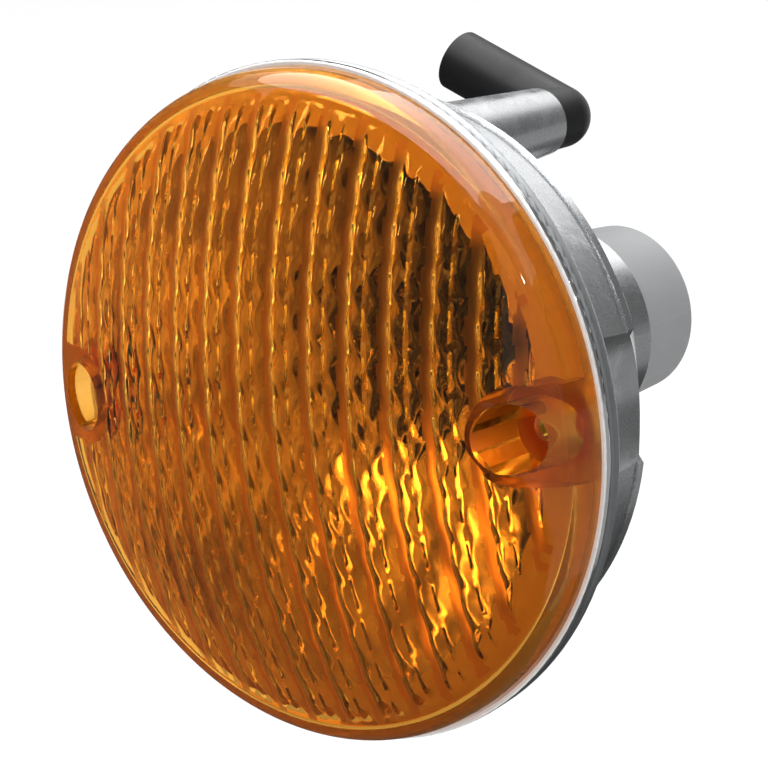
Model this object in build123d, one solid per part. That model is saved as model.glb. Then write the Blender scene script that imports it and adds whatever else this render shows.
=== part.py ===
"""Round rear indicator lamp: amber fluted lens, dished reflector, metal housing and twist-in bulb holder.

Millimetres, +Z up. The lamp axis is Y, the lens faces -Y and the origin is the centre of the
flange's rear face, which seats on the vehicle panel.
"""
import os
from math import asin, cos, degrees, radians, sin, sqrt, tan

from build123d import *

# Mounting flange and the two panel screw holes
flange_r = 53.3
flange_t = 2.2
flange_edge_r = 0.8
screw_inset = 9.7
screw_hole_r = 2.25

# Housing: drum, cone and neck
housing_wall = 1.6
flange_ledge = 6.9
drum_taper = 1.4
drum_y = 16.5
drum_root_fillet = 1.5
drum_ledge = 0.7
bead_t = 1.3
bead_rise = 0.35
neck_r = 16.5
neck_y = 56.0
neck_lip = 4.4
scallop_r = 17.0
scallop_gap = 3.0

# Outlet post and its rubber elbow
post_inset = 10.6
post_tip_y = 52.3
post_tip_r = 5.5
post_draft = 3.8
post_bore_r = 3.3
elbow_r = 5.1
elbow_bore_r = 2.4
elbow_knee = 5.1
elbow_reach = 22.0
elbow_rise = 23.4
elbow_stub = 8.0
elbow_clearance = 0.1

# Reflector
rim_overhang = 0.3
rim_t = 1.3
rim_edge_r = 0.35
dish_wall = 1.2
dish_gap = 0.5
dish_neck_r = 14.2

# Gasket between rim and flange
gasket_t = 0.7
gasket_inset = 0.5
gasket_land = 1.0

# Lens
lens_inset = 0.45
lens_height = 19.2
lens_wall = 2.9
lens_draft = 2.4
skirt_height = 5.7
shoulder_r = 4.4
pocket_r = 5.5
pocket_wall = 2.1
pocket_floor = 1.2
optic_margin = 0.2
flute_pitch = 6.8
flute_width = 5.4
flute_depth = 0.9

# Bulb holder
holder_seat_r = 14.9
holder_rear_r = 13.8
holder_rear_y = 71.2
holder_edge_r = 0.9
holder_wall = 2.4
holder_gasket_t = 0.8
holder_gasket_inset = 0.3
holder_land = 1.8
spigot_length = 9.6
spigot_clearance = 0.25
lug_reach = 1.4
lug_width = 8.0
lug_length = 2.0
lug_clearance = 0.2

# Bayonet socket and its contacts
socket_bore_r = 7.75
socket_wall = 0.6
socket_front = 12.0
socket_seat = 1.8
socket_fit = 0.1
slot_width = 2.5
hook_turn = 25.0
board_t = 1.6
tower_height = 4.2
spring_bore_r = 3.3
spring_wire_r = 0.25
spring_turns = 3.0
plunger_r = 1.9
plunger_collar_t = 0.8
plunger_reach = 2.4
plunger_clearance = 0.2
strip_t = 0.6
strip_width = 4.0
strip_front = 13.5
strip_clearance = 0.2

# Bulb
bulb_glass_r = 12.6
bulb_glass_wall = 0.7
bulb_throat_r = 8.0
bulb_neck_r = 6.9
bulb_neck_seat = 4.0
bulb_cap_r = 7.5
bulb_cap_wall = 0.4
bulb_cap_front = 9.0
bulb_cap_rear = 6.0
bulb_pin_r = 1.0
bulb_pin_reach = 1.2
bulb_contact_r = 2.4
bulb_contact_t = 1.4
bulb_insulator_t = 2.0
light_centre = 31.8
stem_r = 2.4
stem_flare = 4.0
stem_top = 8.0
press_margin = 0.9
filament_r = 0.6
filament_length = 9.0
lead_r = 0.35

# Places along the lamp axis
rim_rear_y = -flange_t - gasket_t
rim_front_y = rim_rear_y - rim_t
lens_base_y = rim_front_y
lens_apex_y = lens_base_y - lens_height
lip_y = neck_y - neck_lip
holder_seat_y = neck_y + holder_gasket_t
spigot_front_y = holder_seat_y - spigot_length
holder_floor_y = holder_rear_y - holder_wall
socket_rear_y = holder_floor_y - socket_seat
tower_y = holder_floor_y - tower_height
plunger_tip_y = tower_y - plunger_reach
bulb_rear_y = plunger_tip_y - bulb_contact_t
pin_y = bulb_rear_y - bulb_cap_rear
cap_front_y = pin_y - bulb_cap_front
glass_end_y = cap_front_y + bulb_neck_seat
socket_front_y = pin_y - socket_front
strip_front_y = pin_y - strip_front
filament_y = pin_y - light_centre
stem_top_y = filament_y + stem_top
knee_y = post_tip_y + elbow_knee

# Radii and places that seat one piece in another
screw_x = flange_r - screw_inset
drum_root_r = flange_r - flange_ledge
drum_rear_r = drum_root_r - drum_taper
post_z = drum_rear_r - post_inset
rim_r = flange_r + rim_overhang
lens_r = flange_r - lens_inset
gasket_r = flange_r - gasket_inset
gasket_bore_r = drum_root_r - housing_wall + gasket_land
spigot_r = holder_seat_r - holder_land
neck_bore_r = spigot_r + spigot_clearance
cavity_r = spigot_r - holder_wall
tower_r = socket_bore_r - socket_fit
socket_r = socket_bore_r + socket_wall
strip_r = (socket_r + cavity_r - strip_t) / 2
pocket_tube_r = pocket_r + pocket_wall
collar_r = spring_bore_r - plunger_clearance
glass_bore_r = bulb_neck_r - bulb_glass_wall
cap_bore_r = bulb_cap_r - bulb_cap_wall

# Dome of the lens, from its rise above the skirt
dome_rise = lens_height - skirt_height
dome_r = (lens_r**2 + dome_rise**2) / (2 * dome_rise)
dome_y = lens_apex_y + dome_r

# Drum and cone walls as straight lines of radius against y, and the scallops beside the screws
cone_top_r = drum_rear_r - drum_ledge
drum_slope = (drum_rear_r - drum_root_r) / drum_y
cone_slope = (neck_r - cone_top_r) / (lip_y - drum_y)
scallop_x = screw_x - scallop_gap + scallop_r

# Parabola of the dish, with its focus on the filament
dish_r = drum_root_r - housing_wall - dish_gap - dish_wall
focus_depth = filament_y - rim_front_y
dish_focal = (sqrt(focus_depth**2 + dish_r**2) - focus_depth) / 2
dish_apex_y = filament_y + dish_focal


def rod(radius, y_start, y_end, x=0.0, z=0.0):
    """Round bar parallel to the lamp axis."""
    seat = Plane(origin=(x, y_start, z), z_dir=(0, 1, 0))
    return extrude(seat * Circle(radius), amount=y_end - y_start)


def ring(outer_r, inner_r, y_start, y_end):
    """Flat ring about the lamp axis."""
    return rod(outer_r, y_start, y_end) - rod(inner_r, y_start, y_end)


def block(x_span, y_span, z_span):
    """Box between pairs of coordinates."""
    size = [span[1] - span[0] for span in (x_span, y_span, z_span)]
    corner = (x_span[0], y_span[0], z_span[0])
    return Pos(*corner) * Box(*size, align=(Align.MIN, Align.MIN, Align.MIN))


def turned(*points):
    """Solid turned about the lamp axis from an outline of (radius, y) points."""
    return revolve(make_face(Polyline(*points, close=True)), Axis.Y)


def circles(solid, radius):
    """Circular edges of one radius about the lamp axis."""
    return [edge for edge in solid.edges().filter_by(GeomType.CIRCLE) if abs(edge.radius - radius) < 1e-4]


def screw_pair(radius, y_start, y_end):
    """Round bars on the two panel screw axes."""
    return [rod(radius, y_start, y_end, x=side * screw_x) for side in (-1, 1)]


def scallop_pair(inset, y_start, y_end):
    """Bars that hollow the drum beside each screw, grown by the walls between them and a surface."""
    return [rod(scallop_r + inset, y_start, y_end, x=side * scallop_x) for side in (-1, 1)]


def drum_line(inset):
    """Radius at y = 0 and slope of the drum wall, stepped in by a wall thickness."""
    return drum_root_r - inset * sqrt(1 + drum_slope**2), drum_slope


def cone_line(inset):
    """Radius at y = 0 and slope of the cone wall, stepped in by a wall thickness."""
    return cone_top_r - cone_slope * drum_y - inset * sqrt(1 + cone_slope**2), cone_slope


def at(line, y):
    """Point of a wall line at y."""
    return line[0] + line[1] * y, y


def meet(first, second):
    """Point where two wall lines cross."""
    return at(first, (second[0] - first[0]) / (first[1] - second[1]))


def dome_body(inset):
    """Solid inside the lens surface, or inside its wall when stepped in."""
    base_r = lens_r - inset
    front_r = base_r - lens_height * tan(radians(lens_draft))
    skirt = turned((0, lens_base_y), (base_r, lens_base_y), (front_r, lens_apex_y), (0, lens_apex_y))
    body = skirt & Pos(0, dome_y, 0) * Sphere(dome_r - inset)
    shoulder = body.edges().filter_by(GeomType.CIRCLE).sort_by(Axis.Y)[0]
    return fillet(shoulder, shoulder_r - inset)


def lens_flutes():
    """Upright cylinder optics that follow the inside of the dome, clear of the skirt."""
    inner_r = dome_r - lens_wall
    optic_r = lens_r - shoulder_r - optic_margin
    round_r = (flute_width**2 / 4 + flute_depth**2) / (2 * flute_depth)
    optic_area = rod(optic_r, lens_apex_y, lens_base_y)
    pairs = int((optic_r - flute_width / 2) / flute_pitch + 0.5)
    flutes = []
    for step in range(-pairs, pairs):
        x = (step + 0.5) * flute_pitch
        track_r = sqrt(inner_r**2 - x**2) + flute_depth - round_r
        flutes.append(optic_area & Pos(x, dome_y, 0) * Rot(0, 90, 0) * Torus(track_r, round_r))
    return flutes


def make_lens():
    """Amber dome with a smooth face, fluted inside, and two screw pockets in bosses that join the skirt."""
    hollow = dome_body(lens_wall)
    for flute in lens_flutes():
        hollow += flute
    for tube in screw_pair(pocket_tube_r, lens_apex_y, lens_base_y):
        hollow -= tube
    for web in ((-lens_r, -screw_x), (screw_x, lens_r)):
        hollow -= block(web, (lens_apex_y, lens_base_y), (-pocket_tube_r, pocket_tube_r))
    lens = dome_body(0) - hollow
    for pocket in screw_pair(pocket_r, lens_apex_y, lens_base_y - pocket_floor):
        lens -= pocket
    for hole in screw_pair(screw_hole_r, lens_apex_y, lens_base_y):
        lens -= hole
    return lens


def make_rim_gasket():
    """Rubber ring between the reflector's rim and the housing's flange."""
    seal = ring(gasket_r, gasket_bore_r, rim_rear_y, -flange_t)
    for hole in screw_pair(screw_hole_r, rim_rear_y, -flange_t):
        seal -= hole
    return seal


def dish_body(offset):
    """Solid inside the dish's parabola, or inside its outer face when offset by the wall."""
    ends = []
    for radius in (dish_neck_r, dish_r):
        fall = radius / (2 * dish_focal)
        slant = sqrt(1 + fall**2)
        y = dish_apex_y - radius**2 / (4 * dish_focal)
        ends.append((radius + offset * fall / slant, y + offset / slant, fall))
    (neck_x, neck_end_y, neck_fall), (edge_x, edge_y, edge_fall) = ends
    run = (edge_y - neck_end_y + edge_fall * (edge_x - neck_x)) / (edge_fall - neck_fall)
    bend = (neck_x + run, neck_end_y - neck_fall * run)
    curve = Bezier((neck_x, neck_end_y), bend, (edge_x, edge_y))
    sides = Polyline((edge_x, edge_y), (0, edge_y), (0, neck_end_y), (neck_x, neck_end_y))
    return revolve(make_face([curve, *sides.edges()]), Axis.Y)


def make_reflector():
    """Bright dish and rim in one pressing, dented where the screws pass beside it."""
    outside = dish_body(dish_wall)
    inside = dish_body(0) + rod(dish_neck_r, rim_front_y, dish_apex_y)
    for dent in scallop_pair(housing_wall + dish_gap, rim_front_y, dish_apex_y):
        outside -= dent
    for dent in scallop_pair(housing_wall + dish_gap + dish_wall, rim_front_y, dish_apex_y):
        inside -= dent
    rim = rod(rim_r, rim_front_y, rim_rear_y)
    rim = fillet(circles(rim, rim_r), rim_edge_r)
    reflector = rim + outside - inside
    for hole in screw_pair(screw_hole_r, rim_front_y, rim_rear_y):
        reflector -= hole
    return reflector


def make_housing():
    """Metal bowl: flange, beaded drum with a scallop beside each screw, cone, neck and outlet post."""
    shell = turned(
        (0, -flange_t),
        (flange_r, -flange_t),
        (flange_r, 0),
        (drum_root_r, 0),
        (drum_rear_r, drum_y - bead_t),
        (drum_rear_r + bead_rise, drum_y - bead_t),
        (drum_rear_r + bead_rise, drum_y),
        (cone_top_r, drum_y),
        (neck_r, lip_y),
        (neck_r, neck_y),
        (0, neck_y),
    )
    shell = fillet(circles(shell, flange_r), flange_edge_r)
    shell = fillet(circles(shell, drum_root_r), drum_root_fillet)
    for scallop in scallop_pair(0, 0, neck_y):
        shell -= scallop
    post_foot_r = post_tip_r + (post_tip_y - drum_y) * tan(radians(post_draft))
    post_axis = Plane(origin=(0, drum_y, post_z), z_dir=(0, 1, 0))
    post = Cone(post_foot_r, post_tip_r, post_tip_y - drum_y, align=(Align.CENTER, Align.CENTER, Align.MIN))
    shell += post_axis * post
    drum_inside, cone_inside = drum_line(housing_wall), cone_line(housing_wall)
    hollow = turned(
        (0, -flange_t),
        at(drum_inside, -flange_t),
        meet(drum_inside, cone_inside),
        at(cone_inside, lip_y),
        (neck_bore_r, lip_y),
        (neck_bore_r, neck_y),
        (0, neck_y),
    )
    for scallop in scallop_pair(housing_wall, -flange_t, neck_y):
        hollow -= scallop
    shell -= hollow
    shell -= rod(post_bore_r, drum_y, post_tip_y, z=post_z)
    notch_half = lug_width / 2 + lug_clearance
    notch_r = spigot_r + lug_reach + lug_clearance
    shell -= rod(notch_r, lip_y, neck_y) & block((-notch_r, notch_r), (lip_y, neck_y), (-notch_half, notch_half))
    for hole in screw_pair(screw_hole_r, -flange_t, 0):
        shell -= hole
    return shell


def make_outlet_elbow():
    """Black rubber elbow plugged in the post: a round arm with a rounded knee and an open passage."""
    knee = Vector(0, knee_y, post_z)
    arm_axis = Plane(origin=knee, z_dir=(-cos(radians(elbow_rise)), 0, sin(radians(elbow_rise))))
    elbow = rod(elbow_r, post_tip_y, knee_y, z=post_z) + Pos(knee) * Sphere(elbow_r)
    elbow += extrude(arm_axis * Circle(elbow_r), amount=elbow_reach)
    stub_y = post_tip_y - elbow_stub
    elbow += rod(post_bore_r - elbow_clearance, stub_y, post_tip_y, z=post_z)
    passage = rod(elbow_bore_r, stub_y, knee_y, z=post_z) + Pos(knee) * Sphere(elbow_bore_r)
    passage += extrude(arm_axis * Circle(elbow_bore_r), amount=elbow_reach)
    return elbow - passage


def make_holder_cap():
    """Grey plastic bulb holder: drafted cap, spigot with two locking lugs, and the socket's tower."""
    cap = turned(
        (0, spigot_front_y),
        (spigot_r, spigot_front_y),
        (spigot_r, holder_seat_y),
        (holder_seat_r, holder_seat_y),
        (holder_rear_r, holder_rear_y),
        (0, holder_rear_y),
    )
    cap = fillet(circles(cap, holder_rear_r), holder_edge_r)
    lug_rear_y = lip_y - lug_clearance
    lug_span = (lug_rear_y - lug_length, lug_rear_y)
    lug_tip_r = spigot_r + lug_reach
    half = lug_width / 2
    cap += rod(lug_tip_r, *lug_span) & block((-half, half), lug_span, (-lug_tip_r, lug_tip_r))
    cap -= rod(cavity_r, spigot_front_y, holder_floor_y)
    tower = rod(tower_r, tower_y, holder_floor_y) + rod(socket_r, socket_rear_y, holder_floor_y)
    tower -= rod(spring_bore_r, tower_y, holder_floor_y)
    channel = strip_width / 2 + strip_clearance
    channel_y = holder_floor_y - strip_t - strip_clearance
    tower -= block((-channel, channel), (channel_y, holder_floor_y), (0, socket_r))
    return cap + tower


def make_holder_gasket():
    """Rubber ring between the housing's neck and the holder."""
    return ring(holder_seat_r - holder_gasket_inset, neck_bore_r, neck_y, holder_seat_y)


def make_socket_sleeve():
    """Bayonet sleeve with a J-slot for each bulb pin."""
    sleeve = ring(socket_r, socket_bore_r, socket_front_y, socket_rear_y)
    half = slot_width / 2
    overrun = degrees(asin(half / socket_r))
    entry = block((0, 2 * socket_r), (socket_front_y, pin_y + half), (-half, half))
    mouth = make_face(Polyline((0, pin_y - half), (2 * socket_r, pin_y - half),
                               (2 * socket_r, pin_y + half), (0, pin_y + half), close=True))
    hook = Rot(0, -overrun, 0) * revolve(mouth, Axis.Y, hook_turn + overrun)
    for turn in (0, 180):
        sleeve -= Rot(0, turn + hook_turn, 0) * entry
        sleeve -= Rot(0, turn, 0) * hook
    return sleeve


def make_contact_board():
    """Insulating disc that guides the plunger."""
    return ring(tower_r, plunger_r + plunger_clearance, tower_y - board_t, tower_y)


def make_contact_plunger():
    """Brass centre contact with a collar behind the board."""
    return rod(plunger_r, plunger_tip_y, tower_y) + rod(collar_r, tower_y, tower_y + plunger_collar_t)


def make_contact_spring():
    """Coil spring that presses the plunger forward."""
    start_y = tower_y + plunger_collar_t + spring_wire_r
    height = holder_floor_y - strip_t - spring_wire_r - start_y
    coil_r = collar_r - spring_wire_r
    coil = Helix(height / spring_turns, height, coil_r)
    wire = Plane(origin=coil @ 0, z_dir=coil % 0) * Circle(spring_wire_r)
    upright = Plane(origin=(0, start_y, 0), z_dir=(0, 1, 0))
    return upright * sweep(wire, coil)


def make_live_terminal():
    """Brass strip from under the spring, along the cavity wall and out towards the outlet."""
    half = strip_width / 2
    pad_y = holder_floor_y - strip_t
    foot = rod(collar_r, pad_y, holder_floor_y) + block((-half, half), (pad_y, holder_floor_y), (0, strip_r))
    return foot + block((-half, half), (strip_front_y, holder_floor_y), (strip_r, strip_r + strip_t))


def make_earth_terminal():
    """Brass tab formed to the outside of the sleeve, opposite the live strip."""
    half = strip_width / 2
    inner_r = socket_r + socket_fit / 2
    band = ring(inner_r + strip_t, inner_r, strip_front_y, pin_y)
    return band & block((-half, half), (strip_front_y, pin_y), (-2 * socket_r, 0))


def glass_body(inset):
    """Solid inside the bulb's glass, or inside its wall when stepped in."""
    neck = rod(bulb_neck_r - inset, filament_y, glass_end_y)
    body = Pos(0, filament_y, 0) * Sphere(bulb_glass_r - inset) + neck
    throat = [edge for edge in circles(body, bulb_neck_r - inset) if edge.center().Y < glass_end_y - 1e-3]
    return fillet(throat, bulb_throat_r + inset)


def make_bulb_glass():
    """Blown glass bulb, open at its neck."""
    return glass_body(0) - glass_body(bulb_glass_wall)


def make_bulb_cap():
    """Bayonet cap with its two side pins."""
    cap = rod(bulb_cap_r, cap_front_y, bulb_rear_y)
    pin_span = bulb_cap_r + bulb_pin_reach
    cap += Pos(0, pin_y, 0) * Rot(0, 90, 0) * Cylinder(bulb_pin_r, 2 * pin_span)
    return cap - rod(cap_bore_r, cap_front_y, bulb_rear_y)


def make_bulb_insulator():
    """Black glass disc that closes the cap."""
    return rod(cap_bore_r, bulb_rear_y - bulb_insulator_t, bulb_rear_y)


def make_bulb_contact():
    """Solder button on the insulator."""
    button = rod(bulb_contact_r, bulb_rear_y, plunger_tip_y)
    rim = button.edges().filter_by(GeomType.CIRCLE).sort_by(Axis.Y)[-1]
    return fillet(rim, bulb_contact_t / 2)


def make_bulb_stem():
    """Glass stem: a flare that closes the neck, and a flat press that grips the lead wires."""
    flare_y = glass_end_y - stem_flare
    stem = turned((0, stem_top_y), (stem_r, stem_top_y), (stem_r, flare_y),
                  (glass_bore_r, glass_end_y), (0, glass_end_y))
    half = filament_length / 2 + press_margin
    thick = lead_r + press_margin
    return stem + block((-half, half), (stem_top_y, stem_top_y + stem_r), (-thick, thick))


def make_bulb_leads():
    """Two support wires from the press to the ends of the filament."""
    half = filament_length / 2
    return Compound([rod(lead_r, filament_y - filament_r, stem_top_y, x=side * half).solid() for side in (-1, 1)])


def make_bulb_filament():
    """Filament coil across the focus of the dish."""
    return Pos(0, filament_y, 0) * Rot(0, 90, 0) * Cylinder(filament_r, filament_length - 2 * lead_r)


pieces = {
    "lens": make_lens,
    "reflector": make_reflector,
    "rim_gasket": make_rim_gasket,
    "housing": make_housing,
    "outlet_elbow": make_outlet_elbow,
    "holder_cap": make_holder_cap,
    "holder_gasket": make_holder_gasket,
    "socket_sleeve": make_socket_sleeve,
    "contact_board": make_contact_board,
    "contact_plunger": make_contact_plunger,
    "contact_spring": make_contact_spring,
    "live_terminal": make_live_terminal,
    "earth_terminal": make_earth_terminal,
    "bulb_glass": make_bulb_glass,
    "bulb_cap": make_bulb_cap,
    "bulb_insulator": make_bulb_insulator,
    "bulb_contact": make_bulb_contact,
    "bulb_stem": make_bulb_stem,
    "bulb_leads": make_bulb_leads,
    "bulb_filament": make_bulb_filament,
}

os.makedirs("parts", exist_ok=True)
for node, make in pieces.items():
    export_step(make(), f"parts/{node}.step")
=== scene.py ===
from math import atan2, cos, pi, radians, sin, sqrt, tan

import bpy
from bpy.props import FloatProperty, FloatVectorProperty, PointerProperty
from bpy.types import Operator, Panel, PropertyGroup
from mathutils import Matrix, Vector


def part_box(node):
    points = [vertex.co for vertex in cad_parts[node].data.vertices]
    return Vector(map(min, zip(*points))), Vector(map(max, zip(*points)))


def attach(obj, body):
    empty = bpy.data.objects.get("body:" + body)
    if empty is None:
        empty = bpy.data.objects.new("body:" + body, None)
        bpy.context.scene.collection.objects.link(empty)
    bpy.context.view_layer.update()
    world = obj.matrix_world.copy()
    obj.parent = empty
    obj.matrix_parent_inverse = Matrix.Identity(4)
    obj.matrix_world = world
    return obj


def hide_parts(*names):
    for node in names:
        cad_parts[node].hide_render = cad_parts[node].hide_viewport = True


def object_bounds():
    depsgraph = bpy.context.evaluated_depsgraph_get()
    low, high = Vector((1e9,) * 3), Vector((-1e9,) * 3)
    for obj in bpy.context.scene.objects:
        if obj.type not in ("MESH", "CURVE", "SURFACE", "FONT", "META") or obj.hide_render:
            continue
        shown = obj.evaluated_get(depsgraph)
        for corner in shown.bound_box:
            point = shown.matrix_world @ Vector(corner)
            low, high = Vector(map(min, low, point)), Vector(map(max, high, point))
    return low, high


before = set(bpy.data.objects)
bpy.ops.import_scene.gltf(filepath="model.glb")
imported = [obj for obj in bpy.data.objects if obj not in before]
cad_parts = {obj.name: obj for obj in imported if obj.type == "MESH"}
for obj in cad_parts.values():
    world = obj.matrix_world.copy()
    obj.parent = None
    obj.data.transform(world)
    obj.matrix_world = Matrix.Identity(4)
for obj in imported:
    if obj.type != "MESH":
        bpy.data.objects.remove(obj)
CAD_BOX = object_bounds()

bl_info = {
    "name": "Rear indicator lamp",
    "version": (1, 0, 0),
    "blender": (4, 5, 0),
    "location": "3D View > Sidebar > Lamp",
    "description": "Models the lens optics of a round rear indicator lamp and finishes all its pieces",
    "category": "Object",
}

MM = 0.001

# Lens: its gap in front of the rim, the steps of its curves and how far its cutters reach past it
SEAT_GAP = 0.05 * MM
SPIN_STEPS = 200
SHOULDER_STEPS = 10
DOME_STEPS = 40
POCKET_SIDES = 96
HOLE_SIDES = 48
SHARP_ANGLE = radians(28)
MERGE_GAP = 0.001 * MM
FRONT_ROOM = 2 * MM
REAR_ROOM = 3 * MM
HOLLOW_ROOM = 1 * MM
POCKET_OFFSET = 43.6 * MM

# Optics: columns, steps across a column, steps up the lens, and the edges of the block that cuts them
COLUMNS = 15
COLUMN_STEPS = 20
ROW_STEPS = 220
OPTIC_FADE = 2.5 * MM
OPTIC_MARGIN = 0.7 * MM
OPTIC_OVERLAP = 0.02 * MM
OPTIC_LIMIT = 1.5
OPTIC_BLOCK_DEPTH = 3 * MM

# Marks on the lens's faces: its ribs and its matt foot, and where they are looked for
RIB_MARK = 1
FOOT_MARK = 0.4
RIB_DEPTH = 1.2 * MM
FOOT_BAND = 0.2 * MM
FACING_REAR = 0.9

# Zones where a finish changes, along the lamp's axis or out from it
CONE_EDGE = (15.5 * MM, 17.5 * MM)
FLANGE_EDGE = (1.8 * MM, 0.4 * MM)
RIM_RING = (43.2 * MM, 43.6 * MM)
RIM_FRONT = (-3.9 * MM, -4.1 * MM)
# Edge of the painted amber light and shade round each screw hole of the reflector
PAINTED_HOLE_LIGHT_EDGE = (2.5 * MM, 2.3 * MM)
NOISE_SPAN = (0.3, 0.7)

# Amber moulding: colour at its surface, clear or on a rib, and colour and density in its depth
AMBER = (1.0, 0.55, 0.15, 1)
RIB_AMBER = (0.82, 0.26, 0.05, 1)
DEPTH_AMBER = (0.995, 0.88, 0.4, 1)
DEPTH_DENSITY = 200.0
CLEAR_ROUGHNESS = 0.02
MATT_ROUGHNESS = 0.5

# Cast metal: even tone of the cone, painted shade and dark reflection on the flange, and relief on the drum
# and off it
CONE_TONE = (0.60, 0.61, 0.62, 1)
FLANGE_PAINTED_SHADE = (0.32, 0.33, 0.34, 1)
EVEN_SHARE = 0.8
DRUM_RELIEF = 0.25
EVEN_RELIEF = 0.05
FLANGE_ROUGHNESS = 0.5

# Reflector: its matt rim, and the painted amber light and shade on the dish at the screw holes
RIM_ROUGHNESS = 0.75
DISH_METALLIC = 1.0
RIM_METALLIC = 0.30
HOLE_PAINTED_LIGHT = (0.75, 0.38, 0.03, 1)

# Blotches and grain of the small pieces inside
FINE_GRAIN = {"blotch": 300.0, "grain": 1800.0, "share": 0.3}

# Studio: which rays show a card, heights of the cards, and strengths of the floor and the surroundings
MIRROR = ("mirror",)
GLASS = ("glass",)
LIGHT_HEIGHT = 0.96
FLAG_HEIGHT = 0.93
CARD_LIFT = 1 * MM
FLOOR_SIZE = 6
FLOOR_GLOW = 1.04
FLOOR_GLOW_SHARE = 0.86
WORLD_SEEN = 1.0
WORLD_LIGHT = 0.45
WHITE = (1, 1, 1, 1)
SENSOR_WIDTH = 36


class LampLensSettings(PropertyGroup):
    """Sizes of the amber lens."""

    base_radius: FloatProperty(
        name="Base radius",
        description="Radius of the skirt where the lens meets the rim",
        default=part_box("lens")[1].x,
        unit="LENGTH",
    )
    base_place: FloatProperty(
        name="Base place",
        description="Where the open side of the lens lies along the lamp's axis",
        default=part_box("lens")[1].y - SEAT_GAP,
        unit="LENGTH",
    )
    apex_place: FloatProperty(
        name="Apex place",
        description="Where the front of the dome lies along the lamp's axis",
        default=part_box("lens")[0].y,
        unit="LENGTH",
    )
    skirt_height: FloatProperty(
        name="Skirt height", description="Height of the skirt below the dome", default=5.7 * MM, unit="LENGTH"
    )
    shoulder_radius: FloatProperty(
        name="Shoulder radius", description="Rounding from front to skirt", default=4.4 * MM, unit="LENGTH"
    )
    draft: FloatProperty(
        name="Draft", description="Lean of the skirt", default=radians(2.4), subtype="ANGLE"
    )
    wall: FloatProperty(
        name="Wall", description="Thickness of the lens", default=2.9 * MM, unit="LENGTH"
    )
    pitch: FloatProperty(
        name="Column pitch", description="Distance from rib to rib", default=6.8 * MM, unit="LENGTH"
    )
    column_width: FloatProperty(
        name="Column width", description="Width of one column of optics", default=5.0 * MM, unit="LENGTH"
    )
    column_depth: FloatProperty(
        name="Column depth",
        description="How far a column is sunk in the wall",
        default=0.55 * MM,
        unit="LENGTH",
    )
    rib_round: FloatProperty(
        name="Rib rounding",
        description="How far a rib's crest stands above its foot",
        default=0.3 * MM,
        unit="LENGTH",
    )
    cusp_drop: FloatProperty(
        name="Cusp drop",
        description="How far the ridge in a column lies below its ribs",
        default=0.25 * MM,
        unit="LENGTH",
    )
    rib_sway: FloatProperty(
        name="Rib sway",
        description="How far a rib winds from side to side",
        default=0.12 * MM,
        unit="LENGTH",
    )
    pillow_length: FloatProperty(
        name="Pillow length", description="Height of one pillow in a column", default=7.0 * MM, unit="LENGTH"
    )
    pillow_depth: FloatProperty(
        name="Pillow depth", description="Relief of one pillow", default=0.3 * MM, unit="LENGTH"
    )
    pillow_slant: FloatProperty(
        name="Pillow slant", description="How far a pillow leans across its column", default=0.12
    )
    optic_radius: FloatProperty(
        name="Optic radius", description="Radius of the area with optics", default=48.3 * MM, unit="LENGTH"
    )
    pocket_offset: FloatProperty(
        name="Pocket offset",
        description="Distance of a screw pocket from the axis",
        default=POCKET_OFFSET,
        unit="LENGTH",
    )
    pocket_radius: FloatProperty(
        name="Pocket radius", description="Radius of a screw pocket", default=5.5 * MM, unit="LENGTH"
    )
    pocket_wall: FloatProperty(
        name="Pocket wall",
        description="Wall of the tube round a screw pocket",
        default=2.1 * MM,
        unit="LENGTH",
    )
    pocket_floor: FloatProperty(
        name="Pocket floor", description="Thickness under a screw head", default=1.2 * MM, unit="LENGTH"
    )
    screw_radius: FloatProperty(
        name="Screw hole radius",
        description="Radius of the hole in the pocket floor",
        default=2.25 * MM,
        unit="LENGTH",
    )


class LampStageSettings(PropertyGroup):
    """Camera and floor of the studio."""

    azimuth: FloatProperty(
        name="Azimuth", description="Camera's turn round the lamp", default=radians(41.43), subtype="ANGLE"
    )
    elevation: FloatProperty(
        name="Elevation", description="Camera's height angle", default=radians(11.95), subtype="ANGLE"
    )
    roll: FloatProperty(
        name="Roll", description="Camera's turn about its own axis", default=radians(-4.99), subtype="ANGLE"
    )
    distance: FloatProperty(
        name="Distance", description="Camera's distance from the lens", default=0.7, unit="LENGTH"
    )
    focal_length: FloatProperty(
        name="Focal length", description="Camera's focal length in millimetres", default=210.53
    )
    aim: FloatVectorProperty(
        name="Aim",
        description="Sideways and upward place of the picture's centre",
        size=2,
        default=(8.335 * MM, 2.45 * MM),
        unit="LENGTH",
    )
    floor_drop: FloatProperty(
        name="Floor drop", description="Room between the lamp and the floor", default=0.09, unit="LENGTH"
    )


# Modelling helpers


def begin_piece(name):
    """Starts a mesh with one vertex at the origin, open in edit mode."""
    bpy.ops.object.select_all(action="DESELECT")
    bpy.ops.mesh.primitive_plane_add(size=0.01)
    piece = bpy.context.object
    piece.name = name
    piece.data.name = name
    bpy.ops.object.mode_set(mode="EDIT")
    bpy.ops.mesh.select_all(action="SELECT")
    bpy.ops.mesh.merge(type="CENTER")
    return piece


def turn_section(name, section):
    """Draws a half section of radius and place, and spins it round the lamp's axis."""
    piece = begin_piece(name)
    bpy.ops.transform.translate(value=(section[0][0], section[0][1], 0))
    for here, there in zip(section, section[1:]):
        step = (there[0] - here[0], there[1] - here[1], 0)
        bpy.ops.mesh.extrude_region_move(TRANSFORM_OT_translate={"value": step})
    bpy.ops.mesh.select_all(action="SELECT")
    bpy.ops.mesh.spin(steps=SPIN_STEPS, angle=2 * pi, center=(0, 0, 0), axis=(0, 1, 0))
    bpy.ops.mesh.select_all(action="SELECT")
    bpy.ops.mesh.remove_doubles(threshold=MERGE_GAP)
    bpy.ops.mesh.normals_make_consistent(inside=False)
    bpy.ops.object.mode_set(mode="OBJECT")
    return piece


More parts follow.
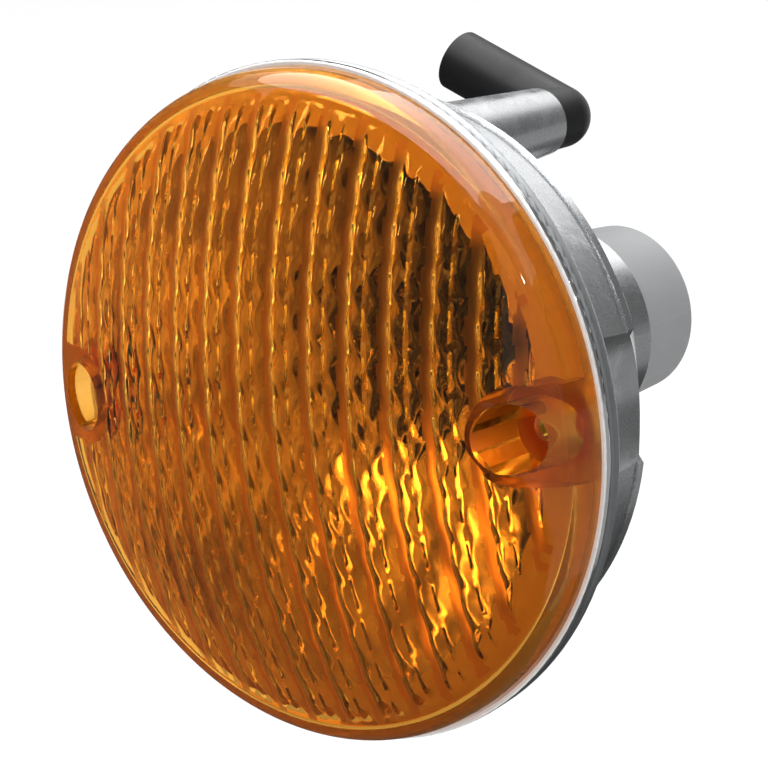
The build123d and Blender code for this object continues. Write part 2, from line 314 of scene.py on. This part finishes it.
def round_bar(name, radius, x, start, end, sides=POCKET_SIDES):
    """A bar along the lamp's axis, for cutting."""
    bpy.ops.object.select_all(action="DESELECT")
    bpy.ops.mesh.primitive_cylinder_add(
        vertices=sides,
        radius=radius,
        depth=end - start,
        location=(x, (start + end) / 2, 0),
        rotation=(pi / 2, 0, 0),
    )
    bar = bpy.context.object
    bar.name = name
    bpy.ops.object.transform_apply(location=True, rotation=True, scale=True)
    return bar


def square_bar(name, x_start, x_end, half, start, end):
    """A square bar along the lamp's axis, for cutting."""
    bpy.ops.object.select_all(action="DESELECT")
    bpy.ops.mesh.primitive_cube_add(size=1, location=((x_start + x_end) / 2, (start + end) / 2, 0))
    bar = bpy.context.object
    bar.name = name
    bar.scale = (abs(x_end - x_start), end - start, 2 * half)
    bpy.ops.object.transform_apply(location=True, rotation=True, scale=True)
    return bar


def combine(piece, other, operation):
    """Joins or cuts a piece with another closed one, which is used up."""
    bpy.ops.object.select_all(action="DESELECT")
    piece.select_set(True)
    bpy.context.view_layer.objects.active = piece
    cut = piece.modifiers.new("cut", "BOOLEAN")
    cut.operation = operation
    cut.solver = "MANIFOLD"
    cut.object = other
    before = len(piece.data.vertices)
    bpy.ops.object.modifier_apply(modifier=cut.name)
    if len(piece.data.vertices) == before:
        raise RuntimeError(f"{other.name} left {piece.name} as it was")
    mesh = other.data
    bpy.data.objects.remove(other)
    bpy.data.meshes.remove(mesh)


def smooth(piece):
    """Shades a piece smooth except along its sharp edges."""
    bpy.ops.object.select_all(action="DESELECT")
    piece.select_set(True)
    bpy.context.view_layer.objects.active = piece
    bpy.ops.object.shade_smooth_by_angle(angle=SHARP_ANGLE)


def seat(piece, node, material):
    """Puts a finished piece in the place of a solid."""
    piece.data.materials.clear()
    piece.data.materials.append(material)
    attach(piece, "root")
    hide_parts(node)


def finish_nodes(material, *nodes):
    """Gives solids their finish."""
    for node in nodes:
        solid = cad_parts[node]
        if not solid.material_slots:
            solid.data.materials.append(material)
        for place in solid.material_slots:
            place.material = material


# Material helpers


def add_node(tree, kind, **values):
    """Adds a node with plain values on its inputs."""
    node = tree.nodes.new(kind)
    for name, value in values.items():
        node.inputs[name.replace("_", " ")].default_value = value
    return node


def put(tree, source, socket):
    """Links an output to an input, or sets a plain value on it."""
    if isinstance(source, bpy.types.NodeSocket):
        tree.links.new(source, socket)
    else:
        socket.default_value = source


def zone(tree, value, start=0.0, end=1.0, low=0.0, high=1.0):
    """Goes from a low number to a high one while a value goes from start to end."""
    node = add_node(tree, "ShaderNodeMapRange", From_Min=start, From_Max=end, To_Min=low, To_Max=high)
    put(tree, value, node.inputs["Value"])
    return node.outputs[0]


def maths(tree, operation, first, second):
    """Works out a number from two."""
    node = tree.nodes.new("ShaderNodeMath")
    node.operation = operation
    put(tree, first, node.inputs[0])
    put(tree, second, node.inputs[1])
    return node.outputs[0]


def vector_maths(tree, operation, first, second=(0, 0, 0)):
    """Works out a vector from two, or a number where a length is measured."""
    node = tree.nodes.new("ShaderNodeVectorMath")
    node.operation = operation
    put(tree, first, node.inputs[0])
    put(tree, second, node.inputs[1])
    return node.outputs["Value" if operation in ("LENGTH", "DISTANCE") else "Vector"]


def blend(tree, share, first, second):
    """Goes from one number to another with a share."""
    node = tree.nodes.new("ShaderNodeMix")
    for source, socket in ((share, 0), (first, 2), (second, 3)):
        put(tree, source, node.inputs[socket])
    return node.outputs[0]


def blend_colour(tree, share, first, second):
    """Goes from one colour to another with a share."""
    node = tree.nodes.new("ShaderNodeMix")
    node.data_type = "RGBA"
    for source, socket in ((share, 0), (first, 6), (second, 7)):
        put(tree, source, node.inputs[socket])
    return node.outputs[2]


def blend_shaders(tree, share, first, second):
    """Goes from one shader to another with a share."""
    node = tree.nodes.new("ShaderNodeMixShader")
    for source, socket in zip((share, first, second), node.inputs):
        put(tree, source, socket)
    return node.outputs[0]


def object_place(tree):
    """Place of a point in the lamp's frame."""
    return tree.nodes.new("ShaderNodeTexCoord").outputs["Object"]


def axis_place(tree):
    """Place of a point along the lamp's axis."""
    parts = tree.nodes.new("ShaderNodeSeparateXYZ")
    put(tree, object_place(tree), parts.inputs[0])
    return parts.outputs["Y"]


def start_material(name, **values):
    """A material with one shader whose plain values are set on its own sockets."""
    material = bpy.data.materials.new(name)
    material.use_nodes = True
    tree = material.node_tree
    shader = tree.nodes["Principled BSDF"]
    for key, value in values.items():
        shader.inputs[key.replace("_", " ")].default_value = value
    return material, tree, shader


def group_sockets(group, inputs, outputs):
    """Names the sockets of a node group, with each input's usual value."""
    for name, value in inputs.items():
        kind = "NodeSocketColor" if isinstance(value, tuple) else "NodeSocketFloat"
        socket = group.interface.new_socket(name, in_out="INPUT", socket_type=kind)
        socket.default_value = value
    for name, kind in outputs.items():
        group.interface.new_socket(name, in_out="OUTPUT", socket_type=kind)
    return group.nodes.new("NodeGroupInput"), group.nodes.new("NodeGroupOutput")


def surface_group():
    """Colour, roughness and height of a surface with blotches and fine grain."""
    name = "surface_variation"
    if name in bpy.data.node_groups:
        return bpy.data.node_groups[name]
    group = bpy.data.node_groups.new(name, "ShaderNodeTree")
    start, end = group_sockets(
        group,
        {
            "Light": (0.5, 0.5, 0.5, 1),
            "Dark": (0.3, 0.3, 0.3, 1),
            "Blotch Scale": 120.0,
            "Grain Scale": 900.0,
            "Grain Share": 0.3,
            "Smoothest": 0.3,
            "Roughest": 0.5,
        },
        {"Color": "NodeSocketColor", "Roughness": "NodeSocketFloat", "Height": "NodeSocketFloat"},
    )
    given = start.outputs
    place = object_place(group)
    blotch = add_node(group, "ShaderNodeTexNoise", Detail=3.0, Roughness=0.6, Distortion=0.4)
    grain = add_node(group, "ShaderNodeTexNoise", Detail=2.0, Roughness=0.7)
    for noise, scale in ((blotch, "Blotch Scale"), (grain, "Grain Scale")):
        put(group, place, noise.inputs["Vector"])
        put(group, given[scale], noise.inputs["Scale"])
    both = blend(group, given["Grain Share"], blotch.outputs["Fac"], grain.outputs["Fac"])
    spread = zone(group, both, *NOISE_SPAN)
    put(group, blend_colour(group, spread, given["Dark"], given["Light"]), end.inputs["Color"])
    put(group, blend(group, spread, given["Roughest"], given["Smoothest"]), end.inputs["Roughness"])
    put(group, both, end.inputs["Height"])
    return group


def varied_material(name, light, dark, rough, blotch, grain, share, bump, **values):
    """A finish with blotches and grain in its colour, roughness and relief."""
    material, tree, shader = start_material(name, **values)
    surface = tree.nodes.new("ShaderNodeGroup")
    surface.node_tree = surface_group()
    for key, value in {
        "Light": (*light, 1),
        "Dark": (*dark, 1),
        "Blotch Scale": blotch,
        "Grain Scale": grain,
        "Grain Share": share,
        "Smoothest": rough[0],
        "Roughest": rough[1],
    }.items():
        surface.inputs[key].default_value = value
    relief = add_node(tree, "ShaderNodeBump", Strength=bump[0], Distance=bump[1])
    put(tree, surface.outputs["Color"], shader.inputs["Base Color"])
    put(tree, surface.outputs["Roughness"], shader.inputs["Roughness"])
    put(tree, surface.outputs["Height"], relief.inputs["Height"])
    put(tree, relief.outputs["Normal"], shader.inputs["Normal"])
    return material


def amber_material():
    """Clear amber moulding, deeper in colour on its ribs, and matt on them and on its foot."""
    material, tree, shader = start_material("amber_plastic", Transmission_Weight=1.0, IOR=1.49)
    marks = tree.nodes.new("ShaderNodeAttribute")
    marks.attribute_name = "rib"
    mark = marks.outputs["Fac"]
    rib = zone(tree, mark, start=FOOT_MARK)
    colour = blend_colour(tree, rib, AMBER, RIB_AMBER)
    put(tree, colour, shader.inputs["Base Color"])
    matt = zone(tree, mark, end=FOOT_MARK, low=CLEAR_ROUGHNESS, high=MATT_ROUGHNESS)
    put(tree, matt, shader.inputs["Roughness"])
    depth = add_node(tree, "ShaderNodeVolumeAbsorption", Color=DEPTH_AMBER, Density=DEPTH_DENSITY)
    put(tree, depth.outputs["Volume"], tree.nodes["Material Output"].inputs["Volume"])
    return material


# Lens


def dome_radius(settings):
    """Radius of the smooth front, from its rise above the skirt."""
    rise = settings.base_place - settings.apex_place - settings.skirt_height
    return (settings.base_radius**2 + rise**2) / (2 * rise)


def lens_section(settings, inset, extra):
    """Half section of the lens's outside, or of its hollow when stepped in by the wall."""
    base = settings.base_place
    height = base - settings.apex_place
    lean = tan(settings.draft)
    foot = settings.base_radius - inset
    dome = dome_radius(settings) - inset
    curve = settings.shoulder_radius - inset
    centre = height - dome_radius(settings)
    # The shoulder's centre lies one rounding inside both the leaning skirt and the dome
    reach = foot - curve / cos(settings.draft)
    inner = dome - curve
    a = 1 + lean**2
    b = -2 * centre - 2 * reach * lean
    c = reach**2 + centre**2 - inner**2
    up = (-b + sqrt(b * b - 4 * a * c)) / (2 * a)
    out = reach - up * lean
    first = settings.draft
    last = atan2(up - centre, out)
    section = [(0, base + extra), (foot + extra * lean, base + extra)]
    for k in range(SHOULDER_STEPS + 1):
        turn = first + (last - first) * k / SHOULDER_STEPS
        section.append((out + curve * cos(turn), base - (up + curve * sin(turn))))
    rim = section[-1][0]
    for k in range(1, DOME_STEPS + 1):
        part = rim * (1 - k / DOME_STEPS)
        section.append((part, base - (centre + sqrt(dome**2 - part**2))))
    return section


class LAMP_OT_lens(Operator):
    """Models the amber lens with its columns of pillow optics and its two screw pockets"""

    bl_idname = "lamp.lens"
    bl_label = "Lens"

    def execute(self, context):
        settings = context.scene.lamp_lens
        floor = settings.base_place - settings.pocket_floor
        front = settings.apex_place - FRONT_ROOM
        rear = settings.base_place + REAR_ROOM
        tube = settings.pocket_radius + settings.pocket_wall
        lens = turn_section("amber_lens", lens_section(settings, 0, 0))
        hollow = turn_section("lens_hollow", lens_section(settings, settings.wall, HOLLOW_ROOM))
        combine(hollow, optic_block(settings), "UNION")
        for side in (-1, 1):
            x = side * settings.pocket_offset
            boss = round_bar("pocket_boss", tube, x, front, rear)
            web = square_bar("pocket_web", x, side * settings.base_radius, tube, front, rear)
            combine(boss, web, "UNION")
            combine(hollow, boss, "DIFFERENCE")
        combine(lens, hollow, "DIFFERENCE")
        for side in (-1, 1):
            x = side * settings.pocket_offset
            combine(lens, round_bar("pocket", settings.pocket_radius, x, front, floor), "DIFFERENCE")
            combine(lens, round_bar("hole", settings.screw_radius, x, front, rear, HOLE_SIDES), "DIFFERENCE")
        smooth(lens)
        mark_ribs(lens, settings)
        seat(lens, "lens", amber_material())
        return {"FINISHED"}


def mark_ribs(lens, settings):
    """Marks the ribs between the optics and the foot of the lens, which are matt."""
    marks = lens.data.attributes.new("rib", "FLOAT", "FACE")
    centre = settings.apex_place + dome_radius(settings)
    inside = dome_radius(settings) - RIB_DEPTH
    half = settings.column_width / 2
    for face, mark in zip(lens.data.polygons, marks.data):
        x, y, z = face.center
        away = sqrt(x * x + z * z)
        depth = sqrt(away**2 + (y - centre) ** 2)
        if face.normal.y > FACING_REAR and y > settings.base_place - FOOT_BAND:
            mark.value = FOOT_MARK
        elif away < settings.optic_radius and depth < inside and abs(rib_place(settings, x, z)) > half:
            mark.value = RIB_MARK


def rib_place(settings, x, z):
    """Place across a column, from its middle, where ribs wind a little up the lens."""
    turn = 2 * pi * z / settings.pillow_length
    shifted = x / settings.pitch + 0.5 + settings.rib_sway / settings.pitch * sin(turn)
    return (shifted % 1 - 0.5) * settings.pitch


def optic_block(settings):
    """A block whose front carries the columns of pillows that are cut into the lens's inside."""
    bpy.ops.object.select_all(action="DESELECT")
    bpy.ops.mesh.primitive_grid_add(
        x_subdivisions=COLUMNS * COLUMN_STEPS, y_subdivisions=ROW_STEPS, size=1
    )
    block = bpy.context.object
    block.name = "optic_block"
    inner = dome_radius(settings) - settings.wall
    centre = settings.apex_place + dome_radius(settings)
    reach = settings.optic_radius
    for vertex in block.data.vertices:
        x = vertex.co.x * COLUMNS * settings.pitch
        z = vertex.co.y * 2 * reach
        away = sqrt(x * x + z * z)
        depth = column_relief(settings, x, z) * min(1, max(0, (reach - away) / OPTIC_FADE))
        y = centre - sqrt(inner**2 - min(away, reach * OPTIC_LIMIT) ** 2) - depth + OPTIC_OVERLAP
        vertex.co = (x, y, z)
    for polygon in block.data.polygons:
        polygon.select = False
    for edge in block.data.edges:
        edge.select = False
    for vertex in block.data.vertices:
        vertex.select = sqrt(vertex.co.x**2 + vertex.co.z**2) > reach + OPTIC_MARGIN
    bpy.ops.object.mode_set(mode="EDIT")
    bpy.ops.mesh.delete(type="VERT")
    bpy.ops.mesh.select_all(action="SELECT")
    bpy.ops.mesh.extrude_region_move(TRANSFORM_OT_translate={"value": (0, OPTIC_BLOCK_DEPTH, 0)})
    bpy.ops.mesh.select_all(action="SELECT")
    bpy.ops.mesh.normals_make_consistent(inside=False)
    bpy.ops.object.mode_set(mode="OBJECT")
    return block


def column_relief(settings, x, z):
    """Depth of the optics below a rib's crest: round ribs, and two rows of pillows between them."""
    turn = 2 * pi * z / settings.pillow_length
    local = rib_place(settings, x, z)
    half = settings.column_width / 2
    if abs(local) > half:
        rib = (settings.pitch / 2 - abs(local)) / (settings.pitch / 2 - half)
        return settings.rib_round * rib**2
    arch = 1 - (2 * abs(local) / half - 1) ** 2
    middle = settings.cusp_drop * (1 - abs(local) / half)
    step = pi if local > 0 else 0
    wave = cos(turn + step + 2 * pi * settings.pillow_slant * local / half)
    return settings.rib_round + middle + settings.column_depth * arch + settings.pillow_depth * arch * wave


# Metal, plastic and rubber


def cast_metal():
    """Cast metal: cloudy on the drum, smoother on the cone and the post, satin on the flange and darker there
    with painted shade and dark reflection.
    """
    material = varied_material(
        "cast_metal",
        light=(0.80, 0.81, 0.82),
        dark=(0.50, 0.51, 0.52),
        rough=(0.20, 0.34),
        blotch=240.0,
        grain=1500.0,
        share=0.3,
        bump=(DRUM_RELIEF, 0.3 * MM),
        Metallic=1.0,
    )
    tree = material.node_tree
    shader = tree.nodes["Principled BSDF"]
    surface = shader.inputs["Base Color"].links[0].from_node
    relief = shader.inputs["Normal"].links[0].from_node
    place = axis_place(tree)
    # Painted shade and dark reflection: the flange and the root of the drum just behind it are made darker
    flange = zone(tree, place, *FLANGE_EDGE)
    plain = maths(tree, "MAXIMUM", zone(tree, place, *CONE_EDGE), flange)
    even_tone_and_painted_shade = blend_colour(tree, flange, CONE_TONE, FLANGE_PAINTED_SHADE)
    share = maths(tree, "MULTIPLY", plain, EVEN_SHARE)
    colour = blend_colour(tree, share, surface.outputs["Color"], even_tone_and_painted_shade)
    put(tree, colour, shader.inputs["Base Color"])
    put(tree, zone(tree, plain, low=DRUM_RELIEF, high=EVEN_RELIEF), relief.inputs["Strength"])
    satin = blend(tree, flange, surface.outputs["Roughness"], FLANGE_ROUGHNESS)
    put(tree, satin, shader.inputs["Roughness"])
    return material


class LAMP_OT_housing(Operator):
    """Finishes the cast housing with its post"""

    bl_idname = "lamp.housing"
    bl_label = "Housing"

    def execute(self, context):
        finish_nodes(cast_metal(), "housing")
        return {"FINISHED"}


def reflector_metal():
    """Bright dish with a matt rim under the lens, and painted amber light and shade at the screw holes."""
    material = varied_material(
        "bright_reflector",
        light=(0.90, 0.90, 0.89),
        dark=(0.82, 0.82, 0.81),
        rough=(0.08, 0.16),
        blotch=60.0,
        grain=700.0,
        share=0.5,
        bump=(0.12, 0.3 * MM),
        Metallic=1.0,
    )
    tree = material.node_tree
    shader = tree.nodes["Principled BSDF"]
    surface = shader.inputs["Base Color"].links[0].from_node
    flat = vector_maths(tree, "MULTIPLY", object_place(tree), (1, 0, 1))
    ring = zone(tree, vector_maths(tree, "LENGTH", flat), *RIM_RING)
    rim = maths(tree, "MULTIPLY", ring, zone(tree, axis_place(tree), *RIM_FRONT))
    # Painted amber light and shade: the dish turns amber and darker round each screw hole
    screw = vector_maths(tree, "DISTANCE", vector_maths(tree, "ABSOLUTE", flat), (POCKET_OFFSET, 0, 0))
    hole = zone(tree, screw, *PAINTED_HOLE_LIGHT_EDGE)
    painted_hole_colour = blend_colour(tree, hole, surface.outputs["Color"], HOLE_PAINTED_LIGHT)
    put(tree, painted_hole_colour, shader.inputs["Base Color"])
    matt = blend(tree, rim, surface.outputs["Roughness"], RIM_ROUGHNESS)
    put(tree, matt, shader.inputs["Roughness"])
    put(tree, zone(tree, rim, low=DISH_METALLIC, high=RIM_METALLIC), shader.inputs["Metallic"])
    return material


class LAMP_OT_reflector(Operator):
    """Finishes the bright reflector with its rim"""

    bl_idname = "lamp.reflector"
    bl_label = "Reflector"

    def execute(self, context):
        finish_nodes(reflector_metal(), "reflector")
        return {"FINISHED"}


class LAMP_OT_holder(Operator):
    """Finishes the grey bulb holder, its contacts and the bulb"""

    bl_idname = "lamp.holder"
    bl_label = "Bulb holder and bulb"

    def execute(self, context):
        grey = varied_material(
            "grey_plastic",
            light=(0.29, 0.295, 0.30),
            dark=(0.26, 0.265, 0.27),
            rough=(0.42, 0.52),
            blotch=90.0,
            grain=2600.0,
            share=0.5,
            bump=(0.12, 0.2 * MM),
        )
        finish_nodes(grey, "holder_cap")
        brass = varied_material(
            "brass",
            light=(0.72, 0.52, 0.22),
            dark=(0.55, 0.37, 0.14),
            rough=(0.25, 0.45),
            bump=(0.1, 0.2 * MM),
            Metallic=1.0,
            **FINE_GRAIN,
        )
        finish_nodes(brass, "bulb_cap", "contact_plunger", "live_terminal", "earth_terminal")
        steel = varied_material(
            "steel",
            light=(0.60, 0.60, 0.60),
            dark=(0.42, 0.42, 0.42),
            rough=(0.2, 0.4),
            bump=(0.1, 0.2 * MM),
            Metallic=1.0,
            **FINE_GRAIN,
        )
        finish_nodes(
            steel, "socket_sleeve", "contact_spring", "bulb_contact", "bulb_leads", "bulb_filament"
        )
        board = varied_material(
            "brown_board",
            light=(0.20, 0.09, 0.04),
            dark=(0.12, 0.05, 0.02),
            rough=(0.5, 0.7),
            bump=(0.1, 0.2 * MM),
            **FINE_GRAIN,
        )
        finish_nodes(board, "contact_board")
        glass = start_material(
            "clear_glass", Base_Color=(0.97, 0.98, 0.98, 1), Transmission_Weight=1.0, IOR=1.5, Roughness=0.0
        )[0]
        finish_nodes(glass, "bulb_glass", "bulb_stem")
        dark = varied_material(
            "black_glass",
            light=(0.02, 0.02, 0.025),
            dark=(0.01, 0.01, 0.012),
            rough=(0.15, 0.3),
            bump=(0.05, 0.2 * MM),
            **FINE_GRAIN,
        )
        finish_nodes(dark, "bulb_insulator")
        return {"FINISHED"}


class LAMP_OT_rubber(Operator):
    """Finishes the rubber elbow and the gaskets"""

    bl_idname = "lamp.rubber"
    bl_label = "Rubber pieces"

    def execute(self, context):
        rubber = varied_material(
            "black_rubber",
            light=(0.009, 0.009, 0.010),
            dark=(0.005, 0.005, 0.006),
            rough=(0.38, 0.55),
            blotch=150.0,
            grain=2200.0,
            share=0.5,
            bump=(0.15, 0.2 * MM),
            Specular_IOR_Level=0.3,
        )
        finish_nodes(rubber, "outlet_elbow", "rim_gasket", "holder_gasket")
        return {"FINISHED"}


# Stage


def soft_light(name, place, size, power, target=(0, 0, 0)):
    """A soft light turned towards a place."""
    data = bpy.data.lights.new(name, "AREA")
    data.shape = "RECTANGLE"
    data.size, data.size_y = size
    data.energy = power
    light = bpy.data.objects.new(name, data)
    bpy.context.scene.collection.objects.link(light)
    light.location = place
    light.rotation_mode = "QUATERNION"
    light.rotation_quaternion = (Vector(target) - light.location).to_track_quat("-Z", "Y")


def plain_card(name, shade, corners, rays):
    """A flat card of one shade between four corners, that only mirrors or glass show."""
    bpy.ops.object.select_all(action="DESELECT")
    bpy.ops.mesh.primitive_plane_add(size=1)
    card = bpy.context.object
    card.name = name
    for vertex, corner in zip(card.data.vertices, corners):
        vertex.co = corner
    material, tree, _ = start_material(name)
    glow = add_node(tree, "ShaderNodeEmission", Strength=shade)
    put(tree, glow.outputs[0], tree.nodes["Material Output"].inputs["Surface"])
    card.data.materials.append(material)
    card.visible_camera = False
    card.visible_diffuse = False
    card.visible_shadow = False
    card.visible_glossy = "mirror" in rays
    card.visible_transmission = "glass" in rays


def wall_card(name, shade, start, end, bottom, top, rays=MIRROR + GLASS):
    """An upright card from one place on the ground to another."""
    plain_card(name, shade, [(*place, height) for height in (bottom, top) for place in (start, end)], rays)


def level_card(name, shade, x_span, y_span, height, rays):
    """A level card at some height."""
    plain_card(name, shade, [(x, y, height) for y in y_span for x in x_span], rays)


def seen_by_eye(tree):
    """One where a camera, mirror or glass ray looks, and nought where light is gathered."""
    ray = tree.nodes.new("ShaderNodeLightPath").outputs
    first = maths(tree, "MAXIMUM", ray["Is Camera Ray"], ray["Is Glossy Ray"])
    return maths(tree, "MAXIMUM", first, ray["Is Transmission Ray"])


def studio_world(scene):
    """White surroundings, seen at full strength and softer as light."""
    world = bpy.data.worlds.new("studio")
    scene.world = world
    world.use_nodes = True
    tree = world.node_tree
    tree.nodes.clear()
    seen = add_node(tree, "ShaderNodeBackground", Color=WHITE, Strength=WORLD_SEEN)
    lit = add_node(tree, "ShaderNodeBackground", Color=WHITE, Strength=WORLD_LIGHT)
    out = tree.nodes.new("ShaderNodeOutputWorld")
    mix = blend_shaders(tree, seen_by_eye(tree), lit.outputs[0], seen.outputs[0])
    put(tree, mix, out.inputs["Surface"])


def floor_material():
    """Pale floor that looks white and keeps a faint shadow."""
    material, tree, shader = start_material("pale_floor", Base_Color=(0.82, 0.82, 0.82, 1), Roughness=0.9)
    glow = add_node(tree, "ShaderNodeEmission", Color=WHITE, Strength=FLOOR_GLOW)
    share = maths(tree, "MULTIPLY", seen_by_eye(tree), FLOOR_GLOW_SHARE)
    mix = blend_shaders(tree, share, shader.outputs[0], glow.outputs[0])
    put(tree, mix, tree.nodes["Material Output"].inputs["Surface"])
    return material


def set_floor(drop):
    """Lays the floor below the lamp."""
    bpy.ops.object.select_all(action="DESELECT")
    bpy.ops.mesh.primitive_plane_add(size=FLOOR_SIZE, location=(0, 0, drop))
    floor = bpy.context.object
    floor.name = "floor"
    bpy.ops.object.transform_apply(location=True, rotation=True, scale=True)
    floor.data.materials.append(floor_material())


def set_overhead():
    """Hangs the lights over the lamp, and the cards that the lens shows in front of them."""
    soft_light("over_light", (-0.22, 0.12, 1.0), (1.55, 1.95), 31.0, (-0.22, 0.12, 0))
    soft_light("spark_light", (0.85, -0.95, 0.62), (0.05, 0.05), 0.7)
    slanted = [(-0.72, -0.74), (-0.34, -0.74), (-0.50, -0.28), (-0.16, -0.28)]
    plain_card("hot_light", 34.0, [(*place, LIGHT_HEIGHT) for place in slanted], GLASS)
    level_card("rear_flag", 0.5, (-1.05, 0.80), (0.20, 1.15), FLAG_HEIGHT, GLASS)
    level_card("left_flag", 0.5, (-1.05, -0.35), (-0.28, 0.20), FLAG_HEIGHT, GLASS)
    level_card("middle_flag", 0.18, (-0.35, 0.80), (-0.28, 0.20), FLAG_HEIGHT, GLASS)
    level_card("right_flag", 0.32, (-0.22, 0.80), (-0.90, -0.28), FLAG_HEIGHT, GLASS)


def set_walls(drop):
    """Stands the walls and glows round the lamp."""
    front_left, front, front_right = (-1.6, -1.3), (0.2, -1.3), (1.5, -0.9)
    right, rear_right, rear = (1.43, -0.43), (1.3, 0.5), (0.55, 1.5)
    left, rear_left = (-1.6, 0.8), (-0.7, 1.5)
    wall_card("front_wall", 0.08, front_left, front, drop, 1.6)
    wall_card("front_right_wall", 0.34, front, front_right, drop, 1.6)
    wall_card("front_glow", 2.3, (-0.08, -1.15), (0.52, -1.10), 0.33, 0.62, GLASS)
    wall_card("left_glow", 2.4, (-1.55, -0.5), (-0.75, -1.25), drop, 1.0, GLASS)
    wall_card("near_right_wall", 0.35, front_right, right, drop, 0.9, GLASS)
    wall_card("right_wall", 0.80, right, rear_right, drop, 0.9, GLASS)
    wall_card("dark_right_wall", 0.12, front_right, rear_right, drop, 0.9, MIRROR)
    wall_card("rear_wall", 0.24, rear_right, rear, drop, 0.45, GLASS)
    wall_card("dark_rear_wall", 0.14, rear_right, rear, drop, 1.15, MIRROR)
    wall_card("left_rear_wall", 0.12, left, rear_left, drop, 1.0, MIRROR)
    wall_card("left_wall", 0.10, front_left, left, drop, 1.2, MIRROR)


def set_ground(drop):
    """Lays cards just above the floor, darker or lighter than it."""
    ground = drop + CARD_LIFT
    level_card("left_ground", 0.08, (-1.6, 0.1), (-1.3, 0.4), ground, MIRROR)
    level_card("near_ground", 0.12, (-0.6, 0.1), (-0.6, -0.034), ground, GLASS)
    level_card("near_right_ground", 0.55, (-0.15, 0.1), (-0.034, 0.1), ground, GLASS)
    level_card("front_ground", 0.40, (0.1, 1.5), (-1.3, -0.06), ground, MIRROR)
    level_card("bright_front_ground", 0.50, (0.1, 1.5), (-1.3, -0.06), ground, GLASS)
    level_card("right_ground", 0.32, (0.1, 1.4), (-0.06, 1.2), ground, MIRROR)
    level_card("bright_right_ground", 0.72, (0.1, 1.4), (-0.06, 1.2), ground, GLASS)


def set_camera(scene):
    """Places the camera in front of the lens, turned by its settings."""
    settings = scene.lamp_stage
    data = bpy.data.cameras.new("camera")
    data.sensor_width = SENSOR_WIDTH
    data.lens = settings.focal_length
    camera = bpy.data.objects.new("camera", data)
    scene.collection.objects.link(camera)
    turn, rise = settings.azimuth, settings.elevation
    back = Vector((sin(turn) * cos(rise), -cos(turn) * cos(rise), sin(rise)))
    level = Vector((cos(turn), sin(turn), 0))
    upright = back.cross(level)
    right = level * cos(settings.roll) + upright * sin(settings.roll)
    above = upright * cos(settings.roll) - level * sin(settings.roll)
    lens_base = Vector((0, scene.lamp_lens.base_place, 0))
    target = lens_base + right * settings.aim[0] + above * settings.aim[1]
    pose = Matrix((right, above, back)).transposed().to_4x4()
    pose.translation = target + back * settings.distance
    camera.matrix_world = pose
    scene.camera = camera


class LAMP_OT_stage(Operator):
    """Sets up the floor, the studio light and the camera"""

    bl_idname = "lamp.stage"
    bl_label = "Stage"

    def execute(self, context):
        scene = context.scene
        scene.view_settings.view_transform = "Standard"
        drop = CAD_BOX[0].z - scene.lamp_stage.floor_drop
        studio_world(scene)
        set_floor(drop)
        set_overhead()
        set_walls(drop)
        set_ground(drop)
        set_camera(scene)
        return {"FINISHED"}


class LAMP_PT_pieces(Panel):
    """Lists the lamp's pieces and their settings"""

    bl_idname = "LAMP_PT_pieces"
    bl_label = "Rear indicator lamp"
    bl_space_type = "VIEW_3D"
    bl_region_type = "UI"
    bl_category = "Lamp"

    def draw(self, context):
        layout = self.layout
        for operator in OPERATORS:
            layout.operator(operator.bl_idname)
        for settings in (context.scene.lamp_lens, context.scene.lamp_stage):
            box = layout.box()
            for name in settings.bl_rna.properties.keys():
                if name not in ("rna_type", "name"):
                    box.prop(settings, name)


OPERATORS = (LAMP_OT_lens, LAMP_OT_housing, LAMP_OT_reflector, LAMP_OT_holder, LAMP_OT_rubber, LAMP_OT_stage)
CLASSES = (LampLensSettings, LampStageSettings, *OPERATORS, LAMP_PT_pieces)


def register():
    for item in CLASSES:
        bpy.utils.register_class(item)
    bpy.types.Scene.lamp_lens = PointerProperty(type=LampLensSettings)
    bpy.types.Scene.lamp_stage = PointerProperty(type=LampStageSettings)


def unregister():
    del bpy.types.Scene.lamp_stage
    del bpy.types.Scene.lamp_lens
    for item in reversed(CLASSES):
        bpy.utils.unregister_class(item)


def main():
    register()
    bpy.ops.lamp.lens()
    bpy.ops.lamp.housing()
    bpy.ops.lamp.reflector()
    bpy.ops.lamp.holder()
    bpy.ops.lamp.rubber()
    bpy.ops.lamp.stage()


if __name__ == "__main__":
    main()
